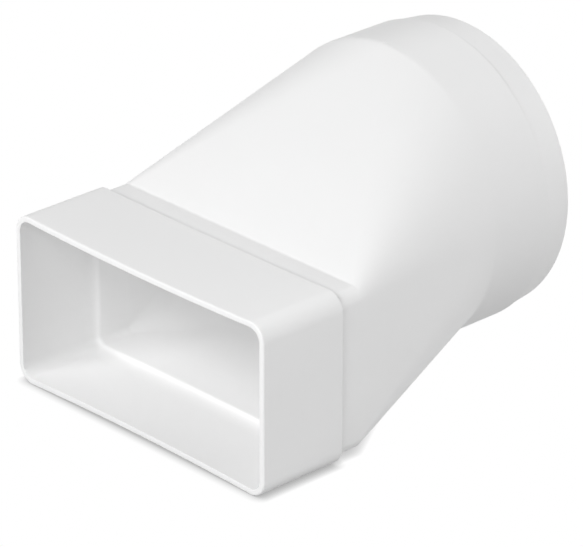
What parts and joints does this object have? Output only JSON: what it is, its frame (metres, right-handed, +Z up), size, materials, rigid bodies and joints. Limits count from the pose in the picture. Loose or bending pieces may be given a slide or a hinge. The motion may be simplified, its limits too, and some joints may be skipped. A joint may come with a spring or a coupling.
{
  "type": "duct transition piece",
  "caption": "Moulded white duct transition: a rectangular socket for flat duct, a stepped neck and a square-to-round body that rises to a round spigot with a tapered tip.",
  "frame": {"origin": "middle of the flat socket's mouth, on the flat duct's centre line", "axes": "+X across the flat duct, +Y from the mouth to the round end, +Z up, towards the side that rises"},
  "size_m": [0.1146, 0.1399, 0.1028],
  "materials": {
    "white_plastic": "satin moulded plastic"
  },
  "bodies": {
    "root": {"duct_transition": "white_plastic"}
  },
  "joints": []
}
